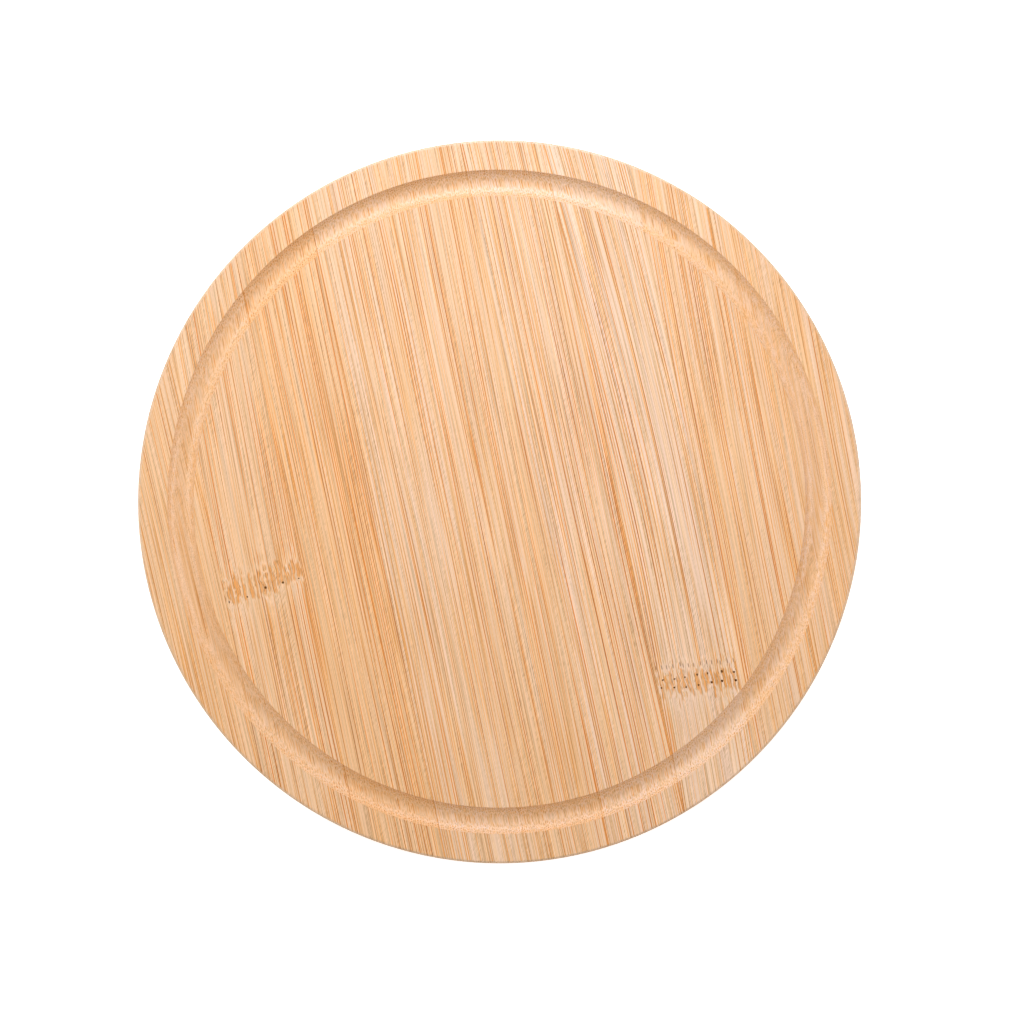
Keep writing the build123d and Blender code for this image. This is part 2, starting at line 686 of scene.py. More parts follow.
# The knots of each noise in the bamboo, in millimetres: across the strip, along it and into it
GRAIN_KNOTS = {
    "swirl": (2.0, 3.0, 2.0),
    "wander": (14.0, 90.0, 9.0),
    "sink": (6.0, 90.0, 9.0),
    "cluster": (2.6, 120.0, 5.0),
    "thread": (0.42, 60.0, 0.6),
    "fine": (0.23, 40.0, 0.28),
    "crack": (0.30, 45.0, 0.35),
    "band": (3.4, 150.0, 5.0),
    "wide band": (9.0, 220.0, 8.0),
    "mottle": (4.0, 20.0, 3.0),
    "grit": (0.28, 0.8, 0.28),
    "hatch": (0.32, 1.5, 0.6),
    "hatched threads": (1.0, 70.0, 2.0),
    "stipple": (0.26, 0.26, 0.26),
    "ragged": (0.8, 1.6, 2.0),
    "rosy": (0.9, 60.0, 0.9),
}

# How far the count of noises and the seed shift a noise, in its own knots, and how far the seed and a
# column's chance shift the rods and the ticks
COUNT_SHIFT = 17.3
SEED_SHIFT_ACROSS = 1.37
SEED_SHIFT_DEEP = 0.71
COLUMN_SHIFT = 3.1
ROW_SHIFT = 9.0
TICK_SHIFT = 0.4

# Where a soft step from 0 to 1 starts and ends in the value that it is made from
STEPS = {
    "cluster": (-0.22, 0.16),
    "crack": (0.12, 0.32),
    "hatched threads": (-0.02, 0.12),
    "tilt": (0.01, 0.12),
    "upright": (0.85, 0.98),
    "pale": (0.35, 0.70),
    "rosy": (-0.20, 0.20),
}

# How far the rods wander across the strip and sink into it, in millimetres, how far they sink for each
# millimetre along the grain, and how much of the swirl they sink by
ROD_WANDER = 1.2
ROD_SINK = 0.8
ROD_SINK_SLOPE = 0.002
SWIRL_SINK = 1.6

# A rod and what is round it, in shares of the spacing between the rods
ROD_RADIUS = 0.14
ROD_RADIUS_SPREAD = 0.09
ROD_SOFTNESS = 0.05
ROD_EDGE = 0.05
ROD_EDGE_SOFTNESS = 0.08
ROD_ASIDE_SPREAD = 0.45
ROD_APART_SPREAD = 0.30
BESIDE_ROD_INSIDE = 0.10
BESIDE_ROD_OUTSIDE = 0.28
VESSEL_RADIUS = 0.10

# How wide a rod is for its depth, and how strong the weakest rod and the weakest cluster are
ROD_SQUEEZE = 0.7
ROD_WEAKEST = 0.35
CLUSTER_WEAKEST = 0.80

# The slope of the planer's marks over the grain
HATCH_SLOPE = 0.95

# A glue line between plies and one between strips, in millimetres, and the strength of the first
PLY_GLUE = 0.12
PLY_GLUE_SOFTNESS = 0.06
PLY_GLUE_STRENGTH = 0.8
SIDE_GLUE = 0.17
SIDE_GLUE_SOFTNESS = 0.08

# The square of the width of the bell that says how near the knuckle is, in squares of its half
KNUCKLE_BELL = 2.5

# The dashes of a knuckle: their gap, how far the swirl and their raggedness move them across the strip,
# and the softness of their ends, in millimetres
DASH_GAP = 1.05
DASH_SWIRL = 0.6
DASH_WAVE = 0.5
DASH_END_SOFTNESS = 0.6

# How scattered the dashes are, and how strong the weakest one is
DASH_SCATTER = 0.85
DASH_WEAKEST = 0.75

# The dashes' widths, in shares of their gap
DASH_HALF_WIDTH = 0.16
DASH_HALF_WIDTH_SPREAD = 0.16
DASH_SOFTNESS = 0.07
DASH_EDGE_OUT = 0.05
DASH_EDGE_HALF_WIDTH = 0.06
DASH_EDGE_SOFTNESS = 0.04

# The dashes' lengths and places along the grain, in shares of the knuckle's half
DASH_HALF_LENGTH = 0.45
DASH_HALF_LENGTH_SPREAD = 0.75
DASH_PLACE_SPREAD = 0.8
DASH_DROP = 0.1

# The ticks over the dashes: their gap, and their places and lengths along the grain, in millimetres
TICK_GAP = 1.5
TICK_OVER_DASHES = 0.6
TICK_PLACE_SPREAD = 0.9
TICK_HALF_LENGTH = 0.55
TICK_END_SOFTNESS = 0.3

# How scattered the ticks are, and their widths in shares of their gap
TICK_SCATTER = 1.0
TICK_HALF_WIDTH = 0.10
TICK_SOFTNESS = 0.07

# The plain wood under a knuckle: its length and the softness of its start in millimetres, and how far
# under the knuckle's middle it starts, as a share of the knuckle's half
PLAIN_LENGTH = 9.0
PLAIN_SOFTNESS = 0.5
PLAIN_START = 0.4

# How much each feature fades the streaks
STREAK_FADES = {
    "under knuckle": 0.25,
    "side cut": 0.45,
    "near knuckle": 0.3,
    "tilt": 0.25,
    "groove": 0.35,
}

# How much each feature adds to the tone, with the streaks' strength and without it
STREAK_TONE = {"band": 0.06, "thread": 0.20, "rod edge": -0.80, "crack": -0.42}
PLAIN_TONE = {
    "wide band": 0.07,
    "mottle": 0.03,
    "cut vessel": -0.12,
    "side cut": 0.08,
    "cross cut": -0.03,
    "under knuckle": 0.05,
    "near knuckle": 0.04,
    "glue": -0.45,
    "rim": 0.05,
}
TONE_LIFT = 0.105
TONE_KNEE = 0.15

# The same for the fine light and dark, with the painted light and shade of the turned faces, which is
# not held down: the groove's floor is painted a little lighter against the shade in the groove, and the
# eased edge and the upright sides are painted darker against the softboxes' bright light on them
STREAK_SHADE = {"fine": 1.08, "crack": -0.16, "rod": -0.16, "cut rod": -0.10}
PLAIN_SHADE = {
    "grit": 0.22,
    "hatch": 0.60,
    "stipple": 0.62,
    "beside rod": 0.14,
    "cut vessel": -0.22,
    "side cut": 0.05,
    "dash edge": -0.50,
    "glue": -0.20,
}
# Painted light in the groove, and painted shade on the eased edge and the upright sides
PAINTED_LIGHT_AND_SHADE = {"groove": 0.03, "edge": -0.26, "upright": -0.12}
SHADE_LIFT = 0.002
SHADE_KNEE = 0.05
SHADE_LIFT_AFTER_KNEE = 0.035

# How much cream is painted on the eased edge, which with its painted shade holds down the bright line
# that the softboxes light there, how much less where it is upright, and how strong the ticks are
PAINTED_EDGE_CREAM = 0.7
UPRIGHT_CREAM = 0.6
TICK_STRENGTH = 0.85

# How much each feature adds to the finish and the relief of the surface
ROUGHNESS_FLOOR = 0.36
ROUGHNESS_GAIN = {"rod": 0.06, "fine": 0.10, "cross cut": 0.12}
RELIEF = {"fine": 0.5, "grit": 0.3, "stipple": 0.3, "rod": -0.4, "vessel": -0.4, "glue": -0.5}
RELIEF_DEPTH = 0.08 * MILLIMETRE
RELIEF_STRENGTH = 0.35


class Figure(Nodes):
    """Adds the figure of bamboo to a shader tree, one feature at a time.

    Lengths are in millimetres from the strip's middle. Each noise is shifted by how many noises came
    before it, so the features are always added in the same order.
    """

    def __init__(self, tree, given):
        super().__init__(tree)
        self.given = given
        self.seed = given["Seed"]
        self.noises = 0
        place = self.add(
            "ShaderNodeVectorMath", {0: given["Vector"], "Scale": 1.0 / MILLIMETRE}, operation="SCALE"
        )
        self.across, self.along, self.deep = self.parts(place.outputs[0])
        self.features = {"rim": given["Rim"], "groove": given["Groove"], "edge": given["Edge"]}

    def noise(self, name, x, y, z, detail=0.0):
        """Noise from -0.5 to 0.5, with its own knots and apart from the other noises."""
        self.noises += 1
        across, along, deep = GRAIN_KNOTS[name]
        shifted = self.vector(
            x / across + self.seed * SEED_SHIFT_ACROSS,
            y / along + self.noises * COUNT_SHIFT,
            z / deep + self.seed * SEED_SHIFT_DEEP,
        )
        texture = self.add(
            "ShaderNodeTexNoise",
            {"Vector": shifted, "Scale": 1.0, "Detail": detail, "Roughness": 0.6},
            noise_dimensions="3D",
        )
        return self.value(texture.outputs["Fac"]) - 0.5

    def strip_noise(self, name, detail=0.0):
        """Noise that keeps to the strip's own axes."""
        return self.noise(name, self.across, self.along, self.deep, detail)

    def rod_noise(self, name, detail=0.0):
        """Noise that follows the rods."""
        return self.noise(name, self.rod_x, self.along, self.rod_z, detail)

    def step(self, name, value):
        """0 to 1 as a value passes the named step."""
        return self.smooth(value, *STEPS[name])

    def below(self, value, edge, softness):
        """1 where a value is under an edge and 0 over it, with a soft step between."""
        return self.smooth(value, edge + softness, edge - softness)

    def at_least(self, least, chance):
        """From the least to 1, as a chance goes from 0 to 1."""
        return least + chance * (1.0 - least)

    def held_down(self, value, knee):
        """The value with what it has over the knee halved, so that the pale ground stays even."""
        return value - self.math("MAXIMUM", value - knee, 0.0) * 0.5

    def cells_along(self, x, randomness):
        """The nearest of points scattered along x: how far off it is, and its own three chances."""
        texture = self.add(
            "ShaderNodeTexVoronoi",
            {"W": x, "Scale": 1.0, "Randomness": randomness},
            voronoi_dimensions="1D",
            feature="F1",
        )
        return self.value(texture.outputs["Distance"]), self.parts(texture.outputs["Color"])

    def chances_at(self, x, y):
        """Three numbers from 0 to 1, the same wherever x and y are the same."""
        texture = self.add(
            "ShaderNodeTexWhiteNoise", {"Vector": self.vector(x, y, 0.0)}, noise_dimensions="2D"
        )
        return self.parts(texture.outputs["Color"])

    def weighted(self, weights):
        """The sum of the features that the weights name, each times its weight."""
        terms = [self.features[name] * weight for name, weight in weights.items()]
        return sum(terms[1:], terms[0])

    def add_swirl(self):
        """How high over the growth knuckle a place is, and the swirl that the rods have near it."""
        given = self.given
        self.above = self.along - given["Knuckle Place"] - given["Knuckle Slope"] * self.across
        self.half = given["Knuckle Half"]
        bell = self.half * self.half * KNUCKLE_BELL
        near = self.math("EXPONENT", -(self.above * self.above) / bell)
        self.swirl = self.strip_noise("swirl") * near
        self.features["near knuckle"] = near

    def add_rod_places(self):
        """Where each rod lies as it leans, bends, wanders and sinks along the strip."""
        along = self.along
        leaned = self.across - self.given["Lean"] * along - self.given["Bend"] * along * along * 0.5
        self.rod_x = leaned + self.strip_noise("wander") * ROD_WANDER + self.swirl
        sunk = self.deep + self.strip_noise("sink") * ROD_SINK
        self.rod_z = sunk + along * ROD_SINK_SLOPE + self.swirl * SWIRL_SINK

    def add_rods(self):
        """The bundles of fibre, in columns that each start at a depth of their own."""
        spacing = self.given["Spacing"]
        columns = self.rod_x / spacing + self.seed * COLUMN_SHIFT
        column = self.math("FLOOR", columns)
        start_chance, aside_chance, _ = self.chances_at(column, self.seed)
        rows = self.rod_z / spacing + start_chance * ROW_SHIFT
        row = self.math("FLOOR", rows)
        radius_chance, strength_chance, apart_chance = self.chances_at(column, row)
        aside = columns - column - 0.5 - (aside_chance - 0.5) * ROD_ASIDE_SPREAD
        apart = (rows - row - 0.5 - (apart_chance - 0.5) * ROD_APART_SPREAD) * ROD_SQUEEZE
        from_middle = self.math("SQRT", aside * aside + apart * apart)
        radius = ROD_RADIUS + radius_chance * ROD_RADIUS_SPREAD
        cluster = self.step("cluster", self.rod_noise("cluster"))
        strength = self.at_least(ROD_WEAKEST, strength_chance) * self.at_least(CLUSTER_WEAKEST, cluster)
        rod_edge = self.below(from_middle, radius + ROD_EDGE, ROD_EDGE_SOFTNESS)
        outside = self.below(from_middle, radius + BESIDE_ROD_OUTSIDE, ROD_EDGE_SOFTNESS)
        inside = self.below(from_middle, radius + BESIDE_ROD_INSIDE, ROD_SOFTNESS)
        self.features["rod"] = self.below(from_middle, radius, ROD_SOFTNESS) * strength
        self.features["rod edge"] = rod_edge * strength
        self.features["beside rod"] = (outside - inside) * strength
        self.features["vessel"] = self.below(from_middle, VESSEL_RADIUS, ROD_SOFTNESS)

    def add_ground(self):
        """The ground between the rods: its threads, cracks, bands and grit."""
        self.features["thread"] = self.rod_noise("thread")
        self.features["fine"] = self.rod_noise("fine")
        self.features["crack"] = self.step("crack", self.rod_noise("crack"))
        self.features["band"] = self.rod_noise("band", detail=1.0)
        self.features["wide band"] = self.rod_noise("wide band")
        self.features["mottle"] = self.strip_noise("mottle", detail=2.0)
        self.features["grit"] = self.rod_noise("grit")

    def add_planer_marks(self):
        """The planer's slanted marks, in some of the threads only."""
        slanted = self.rod_x - self.along * HATCH_SLOPE
        hatch = self.noise("hatch", slanted, self.rod_x, self.rod_z)
        hatched = self.step("hatched threads", self.rod_noise("hatched threads"))
        self.features["hatch"] = hatch * hatched

    def add_cuts(self):
        """How far the surface cuts across the grain, and how far it turns from flat to upright."""
        side_share, grain_share, _ = self.parts(self.given["Normal"])
        turned_share = side_share * side_share + grain_share * grain_share
        tilt = self.step("tilt", turned_share)
        cross_cut = self.math("ABSOLUTE", grain_share)
        self.features["cross cut"] = cross_cut
        self.features["side cut"] = self.math("ABSOLUTE", side_share)
        self.features["cut rod"] = self.features["rod"] * cross_cut
        self.features["cut vessel"] = self.features["vessel"] * cross_cut
        self.features["tilt"] = tilt
        # The upright sides are painted darker further on, against the softboxes' bright light on them
        self.features["upright"] = self.step("upright", turned_share)
        self.features["stipple"] = self.strip_noise("stipple") * tilt * (1.0 - self.given["Edge"])

    def add_glue(self):
        """The glue lines between the plies and at the strip's sides."""
        given = self.given
        from_ply = self.math("MINIMUM", self.deep - given["Glue Low"], given["Glue High"] - self.deep)
        from_side = given["Half Width"] - self.math("ABSOLUTE", self.across)
        ply_glue = self.below(from_ply, PLY_GLUE, PLY_GLUE_SOFTNESS) * PLY_GLUE_STRENGTH
        side_glue = self.below(from_side, SIDE_GLUE, SIDE_GLUE_SOFTNESS) * given["Glue"]
        self.features["glue"] = self.math("MAXIMUM", ply_glue, side_glue)

    def add_dashes(self):
        """The knuckle's short dashes, each with a shadow along its edges."""
        half = self.half
        ragged = self.strip_noise("ragged")
        moved = self.across + self.swirl * DASH_SWIRL + ragged * DASH_WAVE
        from_dash, chances = self.cells_along(moved / DASH_GAP + self.seed, DASH_SCATTER)
        strength_chance, place_chance, length_chance = chances
        middle = (place_chance - 0.5) * half * DASH_PLACE_SPREAD - half * DASH_DROP
        half_length = half * (DASH_HALF_LENGTH + length_chance * DASH_HALF_LENGTH_SPREAD)
        off_middle = self.math("ABSOLUTE", self.above - middle + ragged)
        in_dash = self.below(off_middle, half_length, DASH_END_SOFTNESS)
        in_dash = in_dash * self.at_least(DASH_WEAKEST, strength_chance)
        half_width = DASH_HALF_WIDTH + place_chance * DASH_HALF_WIDTH_SPREAD
        from_edge = self.math("ABSOLUTE", from_dash - half_width - DASH_EDGE_OUT)
        edges = self.below(from_edge, DASH_EDGE_HALF_WIDTH, DASH_EDGE_SOFTNESS)
        self.features["dash"] = in_dash * self.below(from_dash, half_width, DASH_SOFTNESS)
        self.features["dash edge"] = in_dash * edges

    def add_ticks(self):
        """The row of dark ticks over a knuckle's dashes, and the plain wood under them."""
        place = self.across / TICK_GAP + self.seed * TICK_SHIFT
        from_tick, chances = self.cells_along(place, TICK_SCATTER)
        over = self.above - self.half - TICK_OVER_DASHES - chances[0] * TICK_PLACE_SPREAD
        ticks = self.below(self.math("ABSOLUTE", over), TICK_HALF_LENGTH, TICK_END_SOFTNESS)
        ticks = ticks * self.below(from_tick, TICK_HALF_WIDTH, TICK_SOFTNESS)
        plain = self.smooth(self.above, -self.half - PLAIN_LENGTH, -self.half)
        plain = plain * self.below(self.above, -self.half * PLAIN_START, PLAIN_SOFTNESS)
        self.features["tick"] = ticks * self.given["Knuckle Ticks"]
        self.features["under knuckle"] = plain

    def streaks(self):
        """How strong the streaks are, less where a feature fades them."""
        streaks = self.given["Streaks"]
        for name, fade in STREAK_FADES.items():
            streaks = streaks * (1.0 - self.features[name] * fade)
        return streaks

    def tone(self, streaks):
        """The broad change from amber to pale."""
        ground = self.given["Tone"]
        tone = ground + TONE_LIFT + self.weighted(PLAIN_TONE) + self.weighted(STREAK_TONE) * streaks
        return self.held_down(tone, ground + TONE_KNEE)

    def shade(self, streaks):
        """The fine light and dark on top of the tone, with the painted light in the groove and the
        painted shade on the eased edge and the upright sides.
        """
        shade = self.weighted(PLAIN_SHADE) + self.weighted(STREAK_SHADE) * streaks + SHADE_LIFT
        shade = self.held_down(shade, SHADE_KNEE) + SHADE_LIFT_AFTER_KNEE
        return shade + self.weighted(PAINTED_LIGHT_AND_SHADE)

    def ground_colour(self, tone, look):
        """The colour of a tone, from the darkest fibre to the palest ground."""
        ramp = self.add("ShaderNodeValToRGB", {"Fac": tone})
        elements = ramp.color_ramp.elements
        colours = (look.dark, look.amber, look.honey, look.pale, look.cream)
        while len(elements) < len(colours):
            elements.new(0.5)
        for number, (element, colour) in enumerate(zip(elements, colours)):
            element.position = number / (len(colours) - 1)
            element.color = (*colour, 1.0)
        return ramp.outputs["Color"]

    def tinted(self, colour, tint, share):
        """A colour mixed with a share of a tint."""
        node = self.add("ShaderNodeMix", {0: share, 6: colour, 7: (*tint, 1.0)}, data_type="RGBA")
        return node.outputs[2]

    def colour(self, look):
        """The colour of the bamboo, from its tone, its tints and its fine light and dark, with painted
        light and shade on the groove, the eased edge and the upright sides.
        """
        features = self.features
        streaks = self.streaks()
        tone = self.tone(streaks)
        shade = self.shade(streaks)
        pale = self.step("pale", tone)
        rosy = self.step("rosy", self.rod_noise("rosy")) * pale
        colour = self.ground_colour(tone, look)
        colour = self.tinted(colour, look.rosy, rosy * self.given["Blush"])
        # The eased edge is painted creamier here, and darker in the shading, against the softboxes'
        # bright line on it
        cream = features["edge"] * (PAINTED_EDGE_CREAM - features["upright"] * UPRIGHT_CREAM)
        colour = self.tinted(colour, look.cream, cream)
        colour = self.tinted(colour, look.knuckle, features["dash"])
        colour = self.tinted(colour, look.tick, features["tick"] * TICK_STRENGTH)
        shading = self.vector(*(shade * share + 1.0 for share in look.shading))
        shaded = self.add("ShaderNodeVectorMath", (colour, shading), operation="MULTIPLY")
        return shaded.outputs[0]


def bamboo_tree(look):
    """The solid figure of bamboo: rods of fibre in pale ground, along the strip's own Y.

    Its vector is in metres from the strip's middle. Lean is a slope and Bend a slope for each
    millimetre along the grain.
    """
    tree, _, given, end = new_tree(
        "bamboo figure",
        "ShaderNodeTree",
        [
            ("Vector", "NodeSocketVector", (0.0, 0.0, 0.0)),
            ("Normal", "NodeSocketVector", (0.0, 0.0, 1.0)),
            ("Tone", "NodeSocketFloat", 0.6),
            ("Blush", "NodeSocketFloat", 0.5),
            ("Streaks", "NodeSocketFloat", 1.0),
            ("Spacing", "NodeSocketFloat", 1.0),
            ("Lean", "NodeSocketFloat", 0.0),
            ("Bend", "NodeSocketFloat", 0.0),
            ("Seed", "NodeSocketFloat", 0.0),
            ("Knuckle Place", "NodeSocketFloat", 1000.0),
            ("Knuckle Slope", "NodeSocketFloat", 0.0),
            ("Knuckle Half", "NodeSocketFloat", 2.0),
            ("Knuckle Ticks", "NodeSocketFloat", 0.0),
            ("Half Width", "NodeSocketFloat", 11.0),
            ("Glue Low", "NodeSocketFloat", -1000.0),
            ("Glue High", "NodeSocketFloat", 1000.0),
            ("Glue", "NodeSocketFloat", 0.35),
            ("Rim", "NodeSocketFloat", 0.0),
            ("Groove", "NodeSocketFloat", 0.0),
            ("Edge", "NodeSocketFloat", 0.0),
        ],
        [("Color", "NodeSocketColor"), ("Roughness", "NodeSocketFloat"), ("Height", "NodeSocketFloat")],
    )
    figure = Figure(tree, given)
    figure.add_swirl()
    figure.add_rod_places()
    figure.add_rods()
    figure.add_ground()
    figure.add_planer_marks()
    figure.add_cuts()
    figure.add_glue()
    figure.add_dashes()
    figure.add_ticks()
    figure.feed(end.inputs["Color"], figure.colour(look))
    figure.feed(end.inputs["Roughness"], figure.weighted(ROUGHNESS_GAIN) + ROUGHNESS_FLOOR)
    figure.feed(end.inputs["Height"], figure.weighted(RELIEF))
    return tree


def bamboo_material(name, strip, low, high, crosswise, figure):
    """A strip's own bamboo, with its figure centred on the strip and laid along it.

    Low and high are the corners of the strip's box. A side that is glued to the next ply has a glue
    line, and the two outer faces of the board have none.
    """
    middle = (low + high) / 2
    middle[0 if crosswise else 1] = 0.0
    half_width = (high - low)[1 if crosswise else 0] / 2
    half_height = (high.z - low.z) / 2
    material = bpy.data.materials.new(name)
    material.use_nodes = True
    material.node_tree.nodes.clear()
    nodes = Nodes(material.node_tree)
    coordinates = nodes.add("ShaderNodeTexCoord")
    turn = (0.0, 0.0, -math.pi / 2 if crosswise else 0.0)
    placed = nodes.add(
        "ShaderNodeMapping",
        {"Vector": coordinates.outputs["Object"], "Location": middle, "Rotation": turn},
        vector_type="TEXTURE",
    )
    turned = nodes.add(
        "ShaderNodeMapping",
        {"Vector": coordinates.outputs["Normal"], "Rotation": turn},
        vector_type="TEXTURE",
    )
    x, y, z = nodes.parts(coordinates.outputs["Object"])
    out = nodes.math("SQRT", x * x + y * y)
    inputs = {
        "Vector": placed.outputs[0],
        "Normal": turned.outputs[0],
        "Tone": strip.tone,
        "Blush": strip.blush,
        "Streaks": strip.streaks,
        "Spacing": strip.spacing,
        "Lean": math.tan(math.radians(strip.lean)),
        "Bend": math.radians(strip.bend) / BEND_LENGTH,
        "Seed": float(strip.seed),
        "Half Width": half_width / MILLIMETRE,
        "Glue": strip.glue,
        "Rim": nodes.smooth(out, *RIM_STEP),
        # The eased edge, which is painted darker and creamier against the softboxes' bright line on it
        "Edge": nodes.smooth(out, *EDGE_STEP),
    }
    if low.z > MERGE_DISTANCE:
        inputs["Glue Low"] = -half_height / MILLIMETRE
    if high.z < BOARD_TOP - MERGE_DISTANCE:
        inputs["Glue High"] = half_height / MILLIMETRE
    else:
        # The groove's floor, where the streaks fade and the floor is painted a little lighter against
        # the shade in the groove
        inputs["Groove"] = nodes.smooth(z, *GROOVE_DEPTH_STEP) * nodes.smooth(out, *GROOVE_SIDE_STEP)
    if strip.knuckle:
        inputs["Knuckle Place"] = strip.knuckle.place
        inputs["Knuckle Slope"] = math.tan(math.radians(strip.knuckle.tilt))
        inputs["Knuckle Half"] = strip.knuckle.half
        inputs["Knuckle Ticks"] = strip.knuckle.ticks
    group = nodes.add("ShaderNodeGroup", node_tree=figure)
    for key, value in inputs.items():
        nodes.feed(group.inputs[key], value)
    bump = nodes.add(
        "ShaderNodeBump",
        {"Height": group.outputs["Height"], "Strength": RELIEF_STRENGTH, "Distance": RELIEF_DEPTH},
    )
    shader = nodes.add(
        "ShaderNodeBsdfPrincipled",
        {
            "Base Color": group.outputs["Color"],
            "Roughness": group.outputs["Roughness"],
            "Normal": bump.outputs["Normal"],
            "IOR": 1.55,
        },
    )
    nodes.add("ShaderNodeOutputMaterial", {"Surface": shader.outputs[0]})
    return material


def pit_material():
    """The dark inside of a knuckle's pits."""
    material = bpy.data.materials.new("knuckle pit")
    material.use_nodes = True
    material.node_tree.nodes.clear()
    nodes = Nodes(material.node_tree)
    coordinates = nodes.add("ShaderNodeTexCoord")
    grit = nodes.add(
        "ShaderNodeTexNoise", {"Vector": coordinates.outputs["Object"], "Scale": PIT_GRIT}
    )
    ramp = nodes.add("ShaderNodeValToRGB", {"Fac": grit.outputs["Fac"]})
    ramp.color_ramp.elements[0].color = (*PIT_DARK, 1.0)
    ramp.color_ramp.elements[1].color = (*PIT_BROWN, 1.0)
    shader = nodes.add(
        "ShaderNodeBsdfPrincipled",
        {"Base Color": ramp.outputs["Color"], "Roughness": 0.9, "Specular IOR Level": 0.1},
    )
    nodes.add("ShaderNodeOutputMaterial", {"Surface": shader.outputs[0]})
    return material


def plain_mesh(name, modifiers):
    """Evaluates Geometry Nodes trees in turn, each (tree, inputs), and returns the plain mesh."""
    mesh = bpy.data.meshes.new(name)
    maker = bpy.data.objects.new(name, mesh)
    bpy.context.scene.collection.objects.link(maker)
    for tree, inputs in modifiers:
        modifier = maker.modifiers.new(tree.name, "NODES")
        modifier.node_group = tree
        set_modifier_inputs(modifier, inputs)
    maker.update_tag()
    graph = bpy.context.evaluated_depsgraph_get()
    made = bpy.data.meshes.new_from_object(maker.evaluated_get(graph), depsgraph=graph)
    bpy.data.objects.remove(maker)
    bpy.data.meshes.remove(mesh)
    made.name = name
    if not made.polygons:
        raise RuntimeError(f"{name} came out empty")
    return made


def turned_normals(mesh, sizes):
    """Gives the turned faces the exact normals of the section, so that flats stay flat to the edge."""
    loop_total = len(mesh.loops)
    vertex_of_loop = np.empty(loop_total, dtype=np.int32)
    mesh.loops.foreach_get("vertex_index", vertex_of_loop)
    places = np.empty(len(mesh.vertices) * 3, dtype=np.float32)
    mesh.vertices.foreach_get("co", places)
    places = places.reshape(-1, 3)[vertex_of_loop].astype(float)
    normals = np.empty(loop_total * 3, dtype=np.float32)
    mesh.corner_normals.foreach_get("vector", normals)
    normals = normals.reshape(-1, 3).astype(float)

    out = np.hypot(places[:, 0], places[:, 1])
    bearing = places[:, :2] / np.maximum(out, MERGE_DISTANCE)[:, None]
    flat = np.abs(normals[:, 2]) > math.cos(FLAT_WITHIN)
    half_width = sizes.groove_width / 2
    groove_radius = (half_width**2 + sizes.groove_depth**2) / (2 * sizes.groove_depth)
    groove_middle = BOARD_RADIUS - sizes.rim_width - half_width
    groove_height = BOARD_TOP - sizes.groove_depth + groove_radius
    in_groove = np.abs(out - groove_middle) < half_width + MERGE_DISTANCE
    edge_height = np.clip(places[:, 2], sizes.edge_round, BOARD_TOP - sizes.edge_round)
    middle_out = np.where(in_groove, groove_middle, BOARD_RADIUS - sizes.edge_round)
    middle_up = np.where(in_groove, groove_height, edge_height)
    way = np.where(in_groove, -1.0, 1.0)
    outward = (out - middle_out) * way
    upward = (places[:, 2] - middle_up) * way
    length = np.maximum(np.hypot(outward, upward), MERGE_DISTANCE)
    turned = np.column_stack((bearing * (outward / length)[:, None], upward / length))
    near = np.sum(turned * normals, axis=1) > math.cos(TURNED_WITHIN)
    use = near & ~flat
    normals[use] = turned[use]
    mesh.normals_split_custom_set(normals)


def turned_inputs(low, high, ply, sizes, material):
    """What the tree of a turned strip is given for the strip in one box."""
    return {
        "Board Radius": BOARD_RADIUS,
        "Board Top": BOARD_TOP,
        "Edge Round": sizes.edge_round,
        "Rim Width": sizes.rim_width,
        "Groove Width": sizes.groove_width,
        "Groove Depth": sizes.groove_depth,
        "Segments": sizes.segments,
        "Arc Steps": sizes.arc_steps,
        "Low Corner": slab_corner(low, ply, -1),
        "High Corner": slab_corner(high, ply, 1),
        "Material": material,
    }


def pit_inputs(low, high, ply, sizes, strip, material):
    """What the tree of a knuckle's pits is given for a strip with a knuckle."""
    knuckle = strip.knuckle
    face = BOARD_TOP if ply == "face" else 0.0
    place = (knuckle.place - knuckle.drop) * MILLIMETRE
    return {
        "Middle": ((low.x + high.x) / 2, place, face),
        "Tilt": math.radians(knuckle.tilt),
        "Width": (high.x - low.x) * PIT_ROW_SHARE,
        "Row Gap": knuckle.row_gap * MILLIMETRE,
        "Columns": knuckle.columns,
        "Rows": knuckle.rows,
        "Pit Radius": sizes.pit_radius,
        "Seed": strip.seed,
        "Pit Material": material,
    }


def make_strips(context, ply):
    """Makes one ply's strips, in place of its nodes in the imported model."""
    sizes = context.scene.board_sizes
    figure = shared("bamboo figure", lambda: bamboo_tree(context.scene.bamboo_look))
    turned = shared("turned strip", turned_strip_tree)
    pitted = shared("knuckle pits", knuckle_pits_tree)
    dark = bpy.data.materials.get("knuckle pit") or pit_material()
    crosswise = ply == "core"
    for node, strip in STRIPS.items():
        if not node.startswith(ply):
            continue
        low, high = (Vector(corner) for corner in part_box(node))
        material = bamboo_material(node.replace("_", " "), strip, low, high, crosswise, figure)
        modifiers = [(turned, turned_inputs(low, high, ply, sizes, material))]
        if strip.knuckle:
            modifiers.append((pitted, pit_inputs(low, high, ply, sizes, strip, dark)))
        mesh = plain_mesh(f"{node}_turned", modifiers)
        mesh.shade_smooth()
        mesh.set_sharp_from_angle(angle=SHARP_ANGLE)
        turned_normals(mesh, sizes)
        piece = bpy.data.objects.new(f"{node}_turned", mesh)
        context.scene.collection.objects.link(piece)
        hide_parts(node)
        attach(piece, "root")


